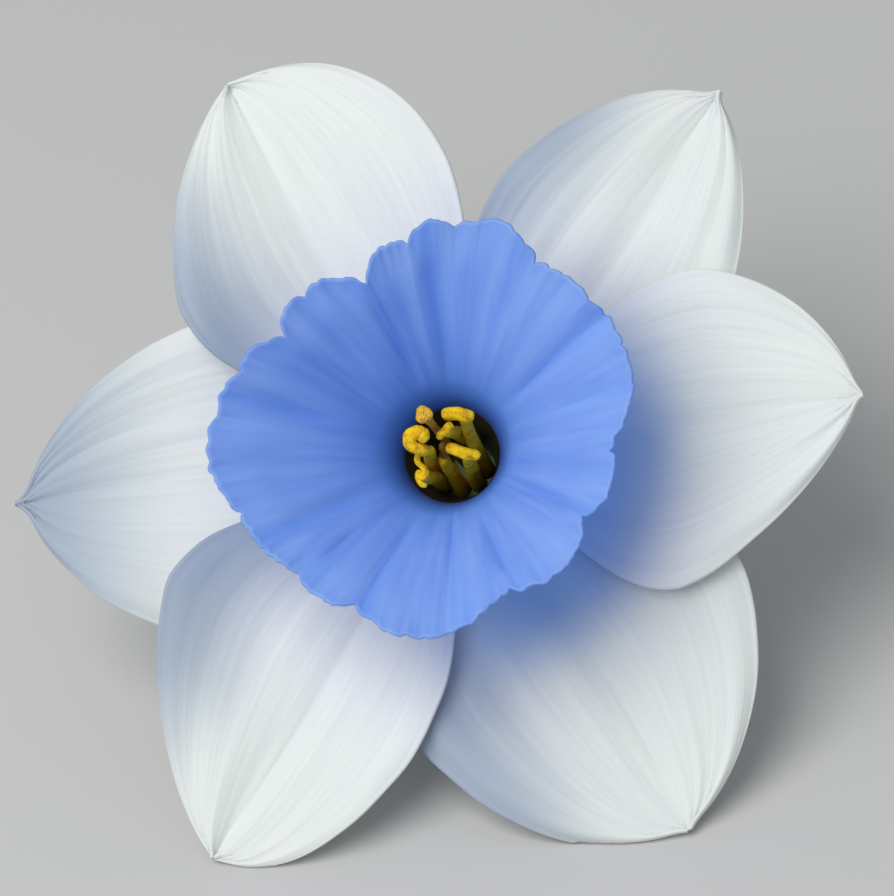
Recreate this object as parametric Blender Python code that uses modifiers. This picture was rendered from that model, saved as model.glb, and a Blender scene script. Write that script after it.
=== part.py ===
"""A picked narcissus flower: six white petals, a frilled blue trumpet, stamens, pistil and a short stem.

It lies on a flat surface as a picked flower does: it leans on the tips of its two lower petals and on
the cut end of its stem, and the trumpet faces up and forward. +Z is up, and the trumpet faces -Y.
Petals, trumpet, tube, stamens and pistil are drawn in the flower's own frame, in which Z is the flower's
axis, Y runs up the face and the origin is the throat. An empty named flower_axis carries that frame.
"""

import math
from collections import namedtuple

import bmesh
import bpy
from mathutils import Matrix, Vector

MM = 0.001

# The pose of the flower on its surface.
LEAN = math.radians(40.0)  # from facing straight up to facing forward
SPIN = math.radians(0.0)  # about the flower's own axis
THROAT = Vector((1.64, -17.35, 28.86)) * MM  # where the throat is, above the surface

GAP = 0.3 * MM  # between pieces that touch

# Petals. Widths, lengths and heights are in millimetres in the tables below.
PETAL_THICKNESS = 0.6 * MM
PETAL_BASE_HALF_WIDTH = 3.0
PETAL_TIP_HALF_WIDTH = 0.35
PETAL_ROWS = 14
PETAL_COLUMNS = 12
INNER_BASE_RADIUS = 6.9
OUTER_BASE_RADIUS = 6.1
INNER_BASE_HEIGHT = -0.9
OUTER_BASE_HEIGHT = -2.9

# One side of a petal: its widest half width, where that is as a share of the length, how full the
# outline stays from there to the tip (2 is an ellipse), and how far the margin stands forward.
Side = namedtuple("Side", "width peak fullness cup")

# angle is the direction of the tip, counterclockwise from +X seen from the front; arch is how far the
# middle stands forward, and tip how far the tip stands forward of the base.
Petal = namedtuple("Petal", "name inner angle length left right arch tip")

PETALS = (
    Petal("petal_inner_upper_left", True, 121.0, 48.6,
          Side(16.8, 0.56, 1.5, 2.6), Side(16.9, 0.62, 2.0, 1.6), 1.6, 0.6),
    Petal("petal_inner_right", True, 6.2, 44.4,
          Side(15.9, 0.64, 1.75, 1.2), Side(18.0, 0.52, 1.35, 1.6), 1.8, 1.0),
    Petal("petal_inner_lower_left", True, 238.7, 50.3,
          Side(13.8, 0.55, 2.0, 1.2), Side(18.7, 0.53, 1.45, 2.4), 1.8, 0.4),
    Petal("petal_outer_upper_right", False, 53.5, 48.2,
          Side(13.6, 0.57, 1.7, 1.4), Side(16.6, 0.50, 1.5, 0.7), 1.6, 0.8),
    Petal("petal_outer_lower_right", False, 301.8, 47.4,
          Side(20.2, 0.55, 1.65, 0.9), Side(19.6, 0.50, 1.85, 1.3), 1.6, 0.6),
    Petal("petal_outer_left", False, 184.9, 47.6,
          Side(18.0, 0.50, 1.65, 1.3), Side(18.0, 0.50, 1.65, 1.0), 1.6, 0.6),
)

# The trumpet, or corona: a flared cup whose rim is a ring of unequal lobes.
CORONA_HEIGHT = 21.0
CORONA_BASE_RADIUS = 5.6
CORONA_LIFT = 0.1
CORONA_FLARE = 1.35
CORONA_THICKNESS = 0.6 * MM
CORONA_ROWS = 8
CORONA_STEPS = 84
# Each notch in the rim and the lobe after it, counterclockwise: the notch's angle in degrees and its
# radius in millimetres, and how far the lobe stands out past its two notches.
RIM_LOBES = (
    (10, 22.4, 0.9), (30, 21.8, 0.7), (54, 20.6, 1.9), (80, 21.1, 1.3), (94, 19.4, 1.5), (110, 15.6, 1.4),
    (131, 18.3, 1.5), (145, 16.9, 0.9), (161, 19.9, 0.6), (175, 21.3, 1.3), (204, 20.6, 0.3),
    (230, 19.5, 1.2), (250, 19.2, 1.5), (278, 21.3, 0.6), (299, 19.3, 2.3), (330, 19.1, 2.0),
    (351, 19.8, 0.7),
)
RIM_NOTCH_DROP = 1.1  # how far a notch lies below the tops of its lobes

# The tube behind the petals, as radius and height pairs from the rim down.
TUBE_OUTSIDE = ((6.6, -0.3), (6.1, -1.6), (5.5, -3.4), (4.6, -6.5), (4.0, -10.0), (3.7, -14.2))
TUBE_INSIDE = ((2.8, -14.2), (3.1, -10.0), (3.8, -6.5), (4.4, -3.4), (4.9, -1.6), (5.1, -0.3))

# The ovary under it.
OVARY_PROFILE = ((3.1, -14.5), (3.6, -15.8), (3.9, -18.5), (3.7, -21.0), (2.9, -23.0), (2.0, -23.9))
OVARY_LOBES = 3
OVARY_LOBE_DEPTH = 0.06

# Stamens and pistil.
FILAMENT_RADIUS = 0.6
FILAMENT_RING = 2.65
FILAMENT_FOOT = -7.5
ANTHER_LENGTH = 3.6
STYLE_RADIUS = 0.5
STYLE_FOOT = -14.2
STIGMA_PLACE = (-0.5, 2.2, 14.0)
STIGMA_RADIUS = 1.0
# Each stamen: the angle of its foot in the tube, where the middle of its anther is, the way the anther
# lies, and the anther's radius.
Stamen = namedtuple("Stamen", "foot middle along radius")
STAMENS = (
    Stamen(190, (-1.8, 0.1, 10.0), (-0.4, -0.5, 0.75), 0.95),
    Stamen(232, (-1.8, -2.7, 7.6), (0.15, -0.95, -0.1), 0.7),
    Stamen(308, (2.6, -1.2, 7.8), (0.95, -0.25, 0.05), 0.7),
    Stamen(345, (2.1, 2.7, 9.0), (1.0, 0.05, 0.0), 0.75),
    Stamen(60, (1.0, 0.9, 9.6), (0.3, 0.45, 0.85), 0.6),
    Stamen(270, (0.1, -0.4, 5.2), (0.0, -0.3, 0.9), 0.6),
)

# Neck and stem, in the frame of the surface.
PEDICEL_RADIUS = 1.7
PEDICEL_START = -24.2
STEM_RADIUS = 3.2
STEM_TOP_HEIGHT = 4.9
STEM_LENGTH = 42.0
STEM_BOW = 1.2  # sideways, at its middle

# The papery sheath at the top of the stem.
SHEATH_THICKNESS = 0.4 * MM
SHEATH_LENGTH = 32.0
SHEATH_LAP = 4.0  # how much of the stem it wraps
SHEATH_ROWS = 12
SHEATH_COLUMNS = 14

COLOURS = {
    "petal": ((0.86, 0.88, 0.87), 0.55),
    "corona": ((0.14, 0.31, 0.88), 0.50),
    "tube": ((0.62, 0.72, 0.48), 0.50),
    "ovary": ((0.16, 0.30, 0.08), 0.45),
    "filament": ((0.55, 0.36, 0.02), 0.50),
    "anther": ((0.72, 0.44, 0.02), 0.80),
    "style": ((0.62, 0.50, 0.10), 0.50),
    "stem": ((0.20, 0.36, 0.11), 0.45),
    "sheath": ((0.52, 0.40, 0.24), 0.75),
}


# ---------------------------------------------------------------- scene helpers


def clear_scene():
    for obj in list(bpy.data.objects):
        bpy.data.objects.remove(obj)


def make_collection(name):
    collection = bpy.data.collections.new(name)
    bpy.context.scene.collection.children.link(collection)
    return collection


def make_material(name):
    colour, roughness = COLOURS[name]
    material = bpy.data.materials.new(name)
    material.use_nodes = True
    shader = material.node_tree.nodes["Principled BSDF"]
    shader.inputs["Base Color"].default_value = (*colour, 1.0)
    shader.inputs["Roughness"].default_value = roughness
    shader.inputs["Metallic"].default_value = 0.0
    return material


def add_mesh_object(name, bm, material, parent=None):
    mesh = bpy.data.meshes.new(name)
    bm.to_mesh(mesh)
    bm.free()
    mesh.shade_smooth()
    mesh.materials.append(material)
    obj = bpy.data.objects.new(name, mesh)
    FLOWER.objects.link(obj)
    obj.parent = parent
    return obj


def solidify(obj, thickness, offset=0.0):
    modifier = obj.modifiers.new("thickness", "SOLIDIFY")
    modifier.thickness = thickness
    modifier.offset = offset


def add_tube_object(name, points, radii, material, parent=None, bevel_resolution=2):
    """A round rod along points, given in millimetres, with a radius at each."""
    curve = bpy.data.curves.new(name, "CURVE")
    curve.dimensions = "3D"
    curve.bevel_depth = MM
    curve.bevel_resolution = bevel_resolution
    curve.use_fill_caps = True
    spline = curve.splines.new("POLY")
    spline.points.add(len(points) - 1)
    for target, point, radius in zip(spline.points, points, radii):
        target.co = (*(Vector(point) * MM), 1.0)
        target.radius = radius
    curve.materials.append(material)
    obj = bpy.data.objects.new(name, curve)
    FLOWER.objects.link(obj)
    obj.parent = parent
    return obj


def smoothstep(low, high, value):
    t = min(1.0, max(0.0, (value - low) / (high - low)))
    return t * t * (3.0 - 2.0 * t)


# ---------------------------------------------------------------- petals


def petal_base(petal):
    """Radius and height at which a petal leaves the tube."""
    if petal.inner:
        return INNER_BASE_RADIUS, INNER_BASE_HEIGHT
    return OUTER_BASE_RADIUS, OUTER_BASE_HEIGHT


def half_width(side, share, base_share):
    """Half width of one side of a petal, at a share of its length from the flower's axis."""
    if share < side.peak:
        grown = math.sin(0.5 * math.pi * (share - base_share) / (side.peak - base_share))
        return PETAL_BASE_HALF_WIDTH + (side.width - PETAL_BASE_HALF_WIDTH) * grown
    t = (share - side.peak) / (1.0 - side.peak)
    shrunk = max(0.0, 1.0 - t**side.fullness) ** (1.0 / side.fullness)
    return max(PETAL_TIP_HALF_WIDTH, side.width * shrunk)


def petal_point(petal, row, column):
    """Point of a petal's middle surface, with row from 0 at the tube to 1 at the tip and column from -1 to 1."""
    base_radius, base_height = petal_base(petal)
    base_share = base_radius / petal.length
    share = base_share + (1.0 - base_share) * math.sin(0.5 * math.pi * row)
    side = petal.left if column > 0.0 else petal.right
    across = column * half_width(side, share, base_share)
    along = share * petal.length
    reach = (share - base_share) / (1.0 - base_share)
    height = base_height + petal.arch * math.sin(math.pi * reach) + petal.tip * reach
    height += side.cup * (across / side.width) ** 2 * smoothstep(0.0, 0.35, reach)
    angle = math.radians(petal.angle)
    outward = Vector((math.cos(angle), math.sin(angle), 0.0))
    sideways = Vector((-math.sin(angle), math.cos(angle), 0.0))
    return (outward * along + sideways * across + Vector((0.0, 0.0, height))) * MM


def make_petal(petal, material, axis):
    """A petal is a grid laid onto the petal's surface and given its thickness."""
    bm = bmesh.new()
    bmesh.ops.create_grid(bm, x_segments=PETAL_COLUMNS, y_segments=PETAL_ROWS, size=1.0)
    for vertex in bm.verts:
        column, row = vertex.co.x, 0.5 * (vertex.co.y + 1.0)
        vertex.co = petal_point(petal, row, -column)
    obj = add_mesh_object(petal.name, bm, material, axis)
    solidify(obj, PETAL_THICKNESS)
    return obj


# ---------------------------------------------------------------- turned shapes and trumpet


def turned(profile, steps, closed):
    """A bmesh made by turning a profile of (radius, height) pairs about the Z axis."""
    bm = bmesh.new()
    verts = [bm.verts.new((radius * MM, 0.0, height * MM)) for radius, height in profile]
    pairs = list(zip(verts, verts[1:]))
    if closed:
        pairs.append((verts[-1], verts[0]))
    edges = [bm.edges.new(pair) for pair in pairs]
    bmesh.ops.spin(
        bm, geom=verts + edges, axis=(0.0, 0.0, 1.0), cent=(0.0, 0.0, 0.0),
        angle=2.0 * math.pi, steps=steps, use_merge=True,
    )
    bmesh.ops.remove_doubles(bm, verts=bm.verts, dist=0.01 * MM)
    bmesh.ops.recalc_face_normals(bm, faces=bm.faces)
    return bm


def rim_shape(angle):
    """Radius of the rim at an angle in degrees, in millimetres, and how far it drops there."""
    for (start, radius, crown), after in zip(RIM_LOBES, RIM_LOBES[1:] + RIM_LOBES[:1]):
        span = (after[0] - start) % 360.0
        share = ((angle - start) % 360.0) / span
        if share < 1.0:
            bump = math.sin(math.pi * share) ** 0.7
            return radius + (after[1] - radius) * share + crown * bump, RIM_NOTCH_DROP * (1.0 - bump)
    return RIM_LOBES[0][1], RIM_NOTCH_DROP


def corona_point(rise, angle):
    """A point of the trumpet's wall, with rise from 0 at the throat to 1 at the rim and angle in degrees."""
    rim_radius, drop = rim_shape(angle)
    radius = CORONA_BASE_RADIUS + (rim_radius - CORONA_BASE_RADIUS) * rise**CORONA_FLARE
    turn = math.radians(angle)
    height = CORONA_LIFT + CORONA_HEIGHT * rise - drop * rise**3
    return Vector((radius * math.cos(turn), radius * math.sin(turn), height)) * MM


def make_corona(material, axis):
    """Turned as a plain cylinder, then each ring of it is laid onto the trumpet's wall."""
    bm = turned([(CORONA_BASE_RADIUS, row) for row in range(CORONA_ROWS + 1)], CORONA_STEPS, closed=False)
    for vertex in bm.verts:
        rise = vertex.co.z / MM / CORONA_ROWS
        vertex.co = corona_point(rise, math.degrees(math.atan2(vertex.co.y, vertex.co.x)))
    obj = add_mesh_object("corona", bm, material, axis)
    solidify(obj, CORONA_THICKNESS)
    return obj


def make_tube(material, axis):
    bm = turned(TUBE_OUTSIDE + TUBE_INSIDE, 28, closed=True)
    return add_mesh_object("floral_tube", bm, material, axis)


def make_ovary(material, axis):
    """A turned body whose wall swells into three lobes."""
    profile = ((0.0, OVARY_PROFILE[0][1]), *OVARY_PROFILE, (0.0, OVARY_PROFILE[-1][1]))
    bm = turned(profile, 24, closed=False)
    for vertex in bm.verts:
        angle = math.atan2(vertex.co.y, vertex.co.x)
        swell = 1.0 + OVARY_LOBE_DEPTH * math.cos(OVARY_LOBES * angle)
        vertex.co.x *= swell
        vertex.co.y *= swell
    return add_mesh_object("ovary", bm, material, axis)


# ---------------------------------------------------------------- stamens and pistil


def bent_line(start, end, lift, count):
    """Points from start to end that leave start along the flower's axis and then lean over."""
    start, end = Vector(start), Vector(end)
    points = []
    for i in range(count):
        t = i / (count - 1)
        point = start.lerp(end, t)
        point.x = start.x + (end.x - start.x) * t**lift
        point.y = start.y + (end.y - start.y) * t**lift
        points.append(point)
    return points


def make_stamen(number, stamen, filament_material, anther_material, axis):
    """The filament stands on the tube's wall and ends just under the middle of its anther."""
    foot_angle = math.radians(stamen.foot)
    foot = (FILAMENT_RING * math.cos(foot_angle), FILAMENT_RING * math.sin(foot_angle), FILAMENT_FOOT)
    middle, along = Vector(stamen.middle), Vector(stamen.along).normalized()
    half_depth = math.hypot(stamen.radius * math.hypot(along.x, along.y), 0.5 * ANTHER_LENGTH * along.z)
    points = bent_line(foot, middle - Vector((0.0, 0.0, half_depth + GAP / MM)), 1.4, 6)
    radii = [FILAMENT_RADIUS * (1.05 - 0.3 * i / 5) for i in range(6)]
    add_tube_object(f"filament_{number}", points, radii, filament_material, axis)
    bm = bmesh.new()
    bmesh.ops.create_uvsphere(bm, u_segments=10, v_segments=8, radius=1.0)
    anther = add_mesh_object(f"anther_{number}", bm, anther_material, axis)
    size = Vector((stamen.radius, stamen.radius, 0.5 * ANTHER_LENGTH)) * MM
    turn = along.to_track_quat("Z", "X").to_matrix().to_4x4()
    anther.data.transform(Matrix.Translation(middle * MM) @ turn @ Matrix.Diagonal((*size, 1.0)))


def make_pistil(material, axis):
    place = Vector(STIGMA_PLACE)
    points = bent_line((0.0, 0.0, STYLE_FOOT), place - Vector((0.0, 0.0, 0.9)), 1.3, 8)
    add_tube_object("style", points, [STYLE_RADIUS] * len(points), material, axis)
    bm = bmesh.new()
    bmesh.ops.create_uvsphere(bm, u_segments=18, v_segments=8, radius=STIGMA_RADIUS * MM)
    for vertex in bm.verts:
        angle = math.atan2(vertex.co.y, vertex.co.x)
        lobe = 0.82 + 0.18 * math.cos(3.0 * angle)
        vertex.co = Vector((vertex.co.x * lobe, vertex.co.y * lobe, vertex.co.z * 0.5)) + place * MM
    return add_mesh_object("stigma", bm, material, axis)


# ---------------------------------------------------------------- neck, stem and sheath


def neck_geometry():
    """Where the neck starts, and the radius of the bend that brings it down to the stem's top."""
    start = THROAT / MM + Vector((0.0, -math.sin(LEAN), math.cos(LEAN))) * PEDICEL_START
    steep = math.pi / 2.0 - LEAN
    slope = math.asin((STEM_TOP_HEIGHT - STEM_RADIUS) / STEM_LENGTH)
    bend = (start.z - STEM_TOP_HEIGHT) / (math.cos(slope) - math.cos(steep))
    return start, steep, slope, bend


def neck_point(share):
    """A point on the neck's bend, from 0 under the ovary to 1 at the stem's top, in millimetres."""
    start, steep, slope, bend = neck_geometry()
    heading = steep + (slope - steep) * share
    along = bend * (math.sin(steep) - math.sin(heading))
    down = bend * (math.cos(heading) - math.cos(steep))
    return start + Vector((0.0, along, -down))


def stem_point(share):
    """A point on the stem's middle line, from 0 at its top to 1 at the cut end, in millimetres."""
    _, _, slope, _ = neck_geometry()
    top = neck_point(1.0)
    run = share * STEM_LENGTH
    bow = STEM_BOW * math.sin(math.pi * share)
    return top + Vector((bow, run * math.cos(slope), -run * math.sin(slope)))


def make_pedicel(material):
    points = [neck_point(0.02 + 0.94 * i / 9) for i in range(10)]
    radii = [PEDICEL_RADIUS * (1.0 + 0.25 * (i / 9) ** 3) for i in range(10)]
    return add_tube_object("pedicel", points, radii, material, bevel_resolution=3)


def make_stem(material):
    points = [stem_point(i / 10) for i in range(11)]
    return add_tube_object("stem", points, [STEM_RADIUS] * 11, material, bevel_resolution=4)


def sheath_centre(run):
    """A point on the sheath's middle line: it follows the stem for its lap and goes straight on under the bend."""
    if run < SHEATH_LAP:
        return stem_point((SHEATH_LAP - run) / STEM_LENGTH)
    top = stem_point(0.0)
    heading = (top - stem_point(0.05)).normalized()
    return top + heading * (run - SHEATH_LAP)


def sheath_point(row, column):
    """Point of the sheath, with row from 0 on the stem to 1 at its tip and column from -1 to 1 round it."""
    lap_end = SHEATH_LAP / SHEATH_LENGTH
    slack = smoothstep(lap_end, 1.0, row)
    radius = STEM_RADIUS + 0.6 + 1.6 * slack
    half_turn = math.radians(165.0) * (1.0 - smoothstep(0.5 * lap_end, 0.75, row)) ** 1.1
    half_turn = max(half_turn, math.radians(48.0) * (1.0 - row) ** 0.8 + math.radians(2.5))
    turn = column * half_turn
    centre = sheath_centre(row * SHEATH_LENGTH)
    bottom = centre.z - STEM_RADIUS - 0.6 + 3.4 * slack**2
    across = centre.x + radius * math.sin(turn)
    return Vector((across, centre.y, bottom + radius * (1.0 - math.cos(turn)))) * MM


def make_sheath(material):
    bm = bmesh.new()
    bmesh.ops.create_grid(bm, x_segments=SHEATH_COLUMNS, y_segments=SHEATH_ROWS, size=1.0)
    for vertex in bm.verts:
        vertex.co = sheath_point(0.5 * (vertex.co.y + 1.0), vertex.co.x)
    obj = add_mesh_object("sheath", bm, material)
    solidify(obj, SHEATH_THICKNESS)
    return obj


# ---------------------------------------------------------------- the flower


def make_flower_axis():
    axis = bpy.data.objects.new("flower_axis", None)
    FLOWER.objects.link(axis)
    lean = Matrix.Rotation(LEAN, 4, "X")
    spin = Matrix.Rotation(SPIN, 4, "Z")
    axis.matrix_world = Matrix.Translation(THROAT) @ lean @ spin
    return axis


def main():
    materials = {name: make_material(name) for name in COLOURS}
    axis = make_flower_axis()
    for petal in PETALS:
        make_petal(petal, materials["petal"], axis)
    make_corona(materials["corona"], axis)
    make_tube(materials["tube"], axis)
    make_ovary(materials["ovary"], axis)
    for number, stamen in enumerate(STAMENS, start=1):
        make_stamen(number, stamen, materials["filament"], materials["anther"], axis)
    make_pistil(materials["style"], axis)
    make_pedicel(materials["stem"])
    make_stem(materials["stem"])
    make_sheath(materials["sheath"])


clear_scene()
FLOWER = make_collection("narcissus_flower")
main()
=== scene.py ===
"""A cut narcissus flower at rest, with white petals, a frilled blue trumpet, golden stamens and a cut stem.

Every piece is drawn in one of two frames. Petals, trumpet, tube, stamens and pistil use the flower's own
frame: Z is the flower's axis, Y runs up its face, and the origin is the throat. Neck, stem and sheath use
the frame of the surface. Lengths in the tables are millimetres.
"""

import math
from collections import namedtuple

import bmesh
import bpy
from bpy.props import FloatProperty, FloatVectorProperty, IntProperty, PointerProperty
from mathutils import Matrix, Vector, noise


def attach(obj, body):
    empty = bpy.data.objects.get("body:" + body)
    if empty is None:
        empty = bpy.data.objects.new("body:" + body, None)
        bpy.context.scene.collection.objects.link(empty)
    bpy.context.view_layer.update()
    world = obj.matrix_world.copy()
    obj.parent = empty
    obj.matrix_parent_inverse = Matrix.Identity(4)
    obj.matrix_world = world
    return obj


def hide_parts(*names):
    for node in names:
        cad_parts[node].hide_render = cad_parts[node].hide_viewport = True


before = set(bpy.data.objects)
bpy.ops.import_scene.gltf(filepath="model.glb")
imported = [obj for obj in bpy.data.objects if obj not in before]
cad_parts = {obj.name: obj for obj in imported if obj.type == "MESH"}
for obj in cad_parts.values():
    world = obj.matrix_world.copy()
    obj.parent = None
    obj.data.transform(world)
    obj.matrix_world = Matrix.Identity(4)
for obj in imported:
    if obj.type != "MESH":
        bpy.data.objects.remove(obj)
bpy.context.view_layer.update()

bl_info = {
    "name": "Narcissus Flower",
    "version": (1, 0, 0),
    "blender": (4, 5, 0),
    "location": "View3D > Sidebar > Narcissus",
    "description": "Builds a cut narcissus flower, piece by piece, with its stage",
    "category": "Object",
}

MM = 0.001
LOWEST = 0.3 * MM  # more than half a petal's thickness, so no piece dips into the surface
MERGE_DISTANCE = 0.00002
UV_NAME = "grain"
WAVE_SPACING = 7.31  # keeps the waves of neighbouring seeds apart

LEAN = math.radians(40.0)
THROAT = Vector((1.64, -17.35, 28.86))
FLOWER = Matrix.Translation(THROAT) @ Matrix.Rotation(LEAN, 4, "X")
SURFACE = Matrix.Identity(4)

PETAL_BASE_HALF_WIDTH = 3.0
PETAL_TIP_HALF_WIDTH = 0.35

# width: widest half width; peak: where, as a share of the length; fullness: of the outline from there to
# the tip; cup: how far this margin stands forward; roll: how far its edge turns back.
Side = namedtuple("Side", "width peak fullness cup roll")

# base: radius and height at the tube. keel: depth of the crease along the middle. spike: length of the
# point at the tip. bend: sideways sweep of the middle crease. seed: for its own waves.
Petal = namedtuple("Petal", "name base angle length left right arch tip keel spike bend seed")

INNER, OUTER = (5.4, -0.9), (5.4, -2.9)
PETALS = (
    Petal("petal_inner_upper_left", INNER, 121.0, 48.6,
          Side(16.8, 0.56, 1.5, 5.4, 0.9), Side(16.9, 0.62, 2.0, 2.2, 0.5), 1.4, 1.4, 1.3, 0.3, 0.5, 1.0),
    Petal("petal_inner_right", INNER, 6.2, 44.4,
          Side(15.9, 0.64, 1.75, 1.4, 0.5), Side(18.0, 0.52, 1.35, 1.6, 0.6), 0.8, 3.6, 0.5, 0.7, -0.4, 2.0),
    Petal("petal_inner_lower_left", INNER, 238.7, 50.3,
          Side(13.8, 0.55, 2.0, 1.6, 0.4), Side(18.7, 0.53, 1.45, 5.2, 0.8), 1.6, 0.9, 1.1, 0.3, 0.8, 3.0),
    Petal("petal_outer_upper_right", OUTER, 53.5, 48.2,
          Side(13.6, 0.57, 1.7, 2.2, 0.5), Side(16.6, 0.50, 1.5, 1.0, 1.0), 1.4, 1.2, 1.0, 1.0, -0.9, 4.0),
    Petal("petal_outer_lower_right", OUTER, 301.8, 47.4,
          Side(20.2, 0.55, 1.65, 1.6, 0.9), Side(19.6, 0.50, 1.85, 2.4, 1.6), 1.6, 0.6, 1.1, 0.6, 0.6, 5.0),
    Petal("petal_outer_left", OUTER, 184.9, 47.4,
          Side(18.0, 0.50, 1.65, 1.8, 1.1), Side(18.0, 0.50, 1.65, 2.6, 1.0), 0.2, 3.6, 0.8, 1.3, 0.2, 6.0),
)

# The painted blue shadow of the trumpet on the petals beside it, blue from light that comes through the
# trumpet: its direction in degrees, and where it fades, in millimetres from the axis and in degrees from that
# direction.
PAINTED_SHADOW_STRENGTH = 0.85
PAINTED_SHADOW_ANGLE = -28.0
PAINTED_SHADOW_REACH = (17.0, 28.0)
PAINTED_SHADOW_SPREAD = (35.0, 80.0)

# The grey-blue painted shade on a petal: where it starts and where it is full, as a share of the half width on
# the margins, and as a share of the length at the tip and the root.
PAINTED_SHADE_MARGIN = (0.18, 0.80)
PAINTED_SHADE_TIP = (0.62, 1.0)
PAINTED_SHADE_ROOT = (0.38, 0.62)
PAINTED_SHADE_STRENGTH = 0.9
PAINTED_SHADE_ROOT_STRENGTH = 0.22

CORONA_HEIGHT = 21.0
CORONA_FOOT = -0.35
CORONA_BASE_RADIUS = 5.35
CORONA_PLAIN_RADIUS = 20.4  # of the rim before it breaks into lobes
CORONA_FLARE = 1.35
# Notch angle in degrees, notch radius, and how far the lobe after it stands out.
RIM_LOBES = (
    (10, 22.4, 0.9), (30, 21.8, 0.7), (54, 20.6, 1.9), (80, 21.1, 1.3), (94, 19.4, 1.5), (110, 15.6, 1.4),
    (131, 18.3, 1.5), (145, 16.9, 0.9), (161, 19.9, 0.6), (175, 21.3, 1.3), (204, 20.6, 0.3),
    (230, 19.5, 1.2), (250, 19.2, 1.5), (278, 21.3, 0.6), (299, 19.3, 2.3), (330, 19.1, 2.0),
    (351, 19.8, 0.7),
)
RIM_NOTCH_DROP = 1.1
# Pleats down the wall: angle and half width in degrees, depth, and how far down from the rim they reach.
PLEATS = (
    (30, 3.5, 0.9, 0.25), (54, 3.0, 0.3, 0.6), (86, 5.0, 0.9, 0.1), (110, 4.0, 1.0, 0.15),
    (131, 3.0, 0.45, 0.4), (146, 3.6, 0.9, 0.2), (168, 3.6, 0.8, 0.35), (190, 3.0, 0.3, 0.5),
    (213, 5.0, 0.9, 0.2), (232, 3.0, 0.4, 0.5), (251, 3.6, 0.9, 0.2), (279, 2.6, 0.7, 0.15),
    (300, 3.2, 0.8, 0.25), (331, 3.4, 0.9, 0.2), (352, 3.0, 0.4, 0.45), (9, 3.0, 0.35, 0.5),
)

TUBE_OUTSIDE = ((6.6, -0.3), (6.1, -1.6), (5.5, -3.4), (4.6, -6.5), (4.0, -10.0), (3.7, -14.4))
TUBE_INSIDE = ((2.8, -14.4), (3.1, -10.0), (3.8, -6.5), (4.4, -3.4), (4.9, -1.6), (5.2, -0.3), (5.9, 0.1))
OVARY_PROFILE = (
    (0.0, -14.0), (3.1, -14.2), (3.6, -15.8), (3.9, -18.5), (3.7, -21.0), (2.9, -23.0), (1.9, -24.0),
    (0.0, -24.3),
)

FILAMENT_RADIUS = 0.8
FILAMENT_RING = 2.8
FILAMENT_FOOT = -7.5
STYLE_FOOT = -14.2
STIGMA_PLACE = Vector((-0.5, 2.2, 14.0))

# foot: angle of the foot in the tube; middle: of the anther; turns: the anther's middle line, from its
# middle; thick: its radius.
Stamen = namedtuple("Stamen", "foot middle turns thick")
STAMENS = (
    Stamen(190, (-1.8, 0.1, 10.0),
           ((0.9, -0.9, -1.2), (0.2, -1.0, -0.2), (-0.75, -0.55, 0.3), (-0.8, 0.35, 0.5),
            (0.0, 0.75, 0.6), (0.65, 0.35, 0.8), (0.35, -0.35, 1.0)), 0.78),
    Stamen(232, (-1.8, -2.7, 7.6),
           ((0.1, 1.9, 0.2), (-0.45, 1.45, 0.3), (-0.45, 0.75, 0.3), (0.05, 0.25, 0.1),
            (0.35, -0.35, 0.3), (0.05, -0.85, 0.5), (-0.35, -0.45, 0.4),
            (-0.45, -1.0, 0.2), (-0.05, -1.6, 0.1), (0.5, -1.75, 0.1)), 0.40),
    Stamen(308, (2.6, -1.2, 7.8),
           ((-1.8, 0.7, 0.2), (-1.1, 0.6, 0.3), (-0.3, 0.25, 0.35), (0.6, -0.05, 0.3),
            (1.3, -0.15, 0.1), (1.75, -0.45, -0.1)), 0.64),
    Stamen(345, (2.1, 2.7, 9.0),
           ((-1.5, 0.05, 0.1), (-0.9, 0.25, 0.2), (0.0, 0.3, 0.2), (0.8, 0.1, 0.15),
            (1.4, 0.0, 0.0), (1.9, -0.05, -0.1)), 0.72),
    Stamen(60, (1.0, 0.9, 9.6),
           ((-0.7, -0.6, -0.3), (-0.35, -0.1, 0.2), (0.1, 0.1, 0.5), (0.45, 0.45, 0.7),
            (0.75, 0.75, 0.4)), 0.5),
    Stamen(270, (0.1, -0.4, 5.2),
           ((-0.3, -0.5, -0.9), (0.0, -0.1, -0.2), (0.1, 0.2, 0.6), (-0.2, 0.5, 1.2)), 0.5),
)

PEDICEL_RADIUS = 1.7
PEDICEL_START = -24.2
STEM_RADIUS = 3.2
STEM_TOP_HEIGHT = 4.9
STEM_LENGTH = 42.0
STEM_SLOPE = math.asin((STEM_TOP_HEIGHT - STEM_RADIUS) / STEM_LENGTH)
STEM_BOW = 1.2
STEM_HOLLOW_RADIUS = 1.5
STEM_HOLLOW_DEPTH = 7.0
SHEATH_LENGTH = 32.0
SHEATH_LAP = 4.0
SHEATH_THICKNESS = 0.2

# The stage, in metres.
VIEW_FROM = Vector((0.175, -0.154, 0.972))  # from the throat to the eye, in the flower's frame
VIEW_DISTANCE = 0.52
VIEW_SPAN = 0.0968  # width seen at the throat
VIEW_SHIFT = (-0.0056, 0.0078)
SENSOR_WIDTH = 36.0
FLOOR_HALF_WIDTH = 3.0
SKY_COLOUR = (0.90, 0.94, 1.0)

# towards: from the throat to the lamp, in the flower's frame; distance and size in metres.
Lamp = namedtuple("Lamp", "name towards distance size colour")
KEY = Lamp("key", Vector((-0.34, 0.20, 0.92)), 0.9, 0.8, (1.0, 0.99, 0.97))
FILL = Lamp("fill", Vector((0.6, -0.5, 0.6)), 1.2, 0.9, (0.88, 0.93, 1.0))


# ---------------------------------------------------------------- shapes


def smoothstep(low, high, value):
    """0 below low, 1 above high, and a soft rise between them."""
    t = min(1.0, max(0.0, (value - low) / (high - low)))
    return t * t * (3.0 - 2.0 * t)


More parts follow.
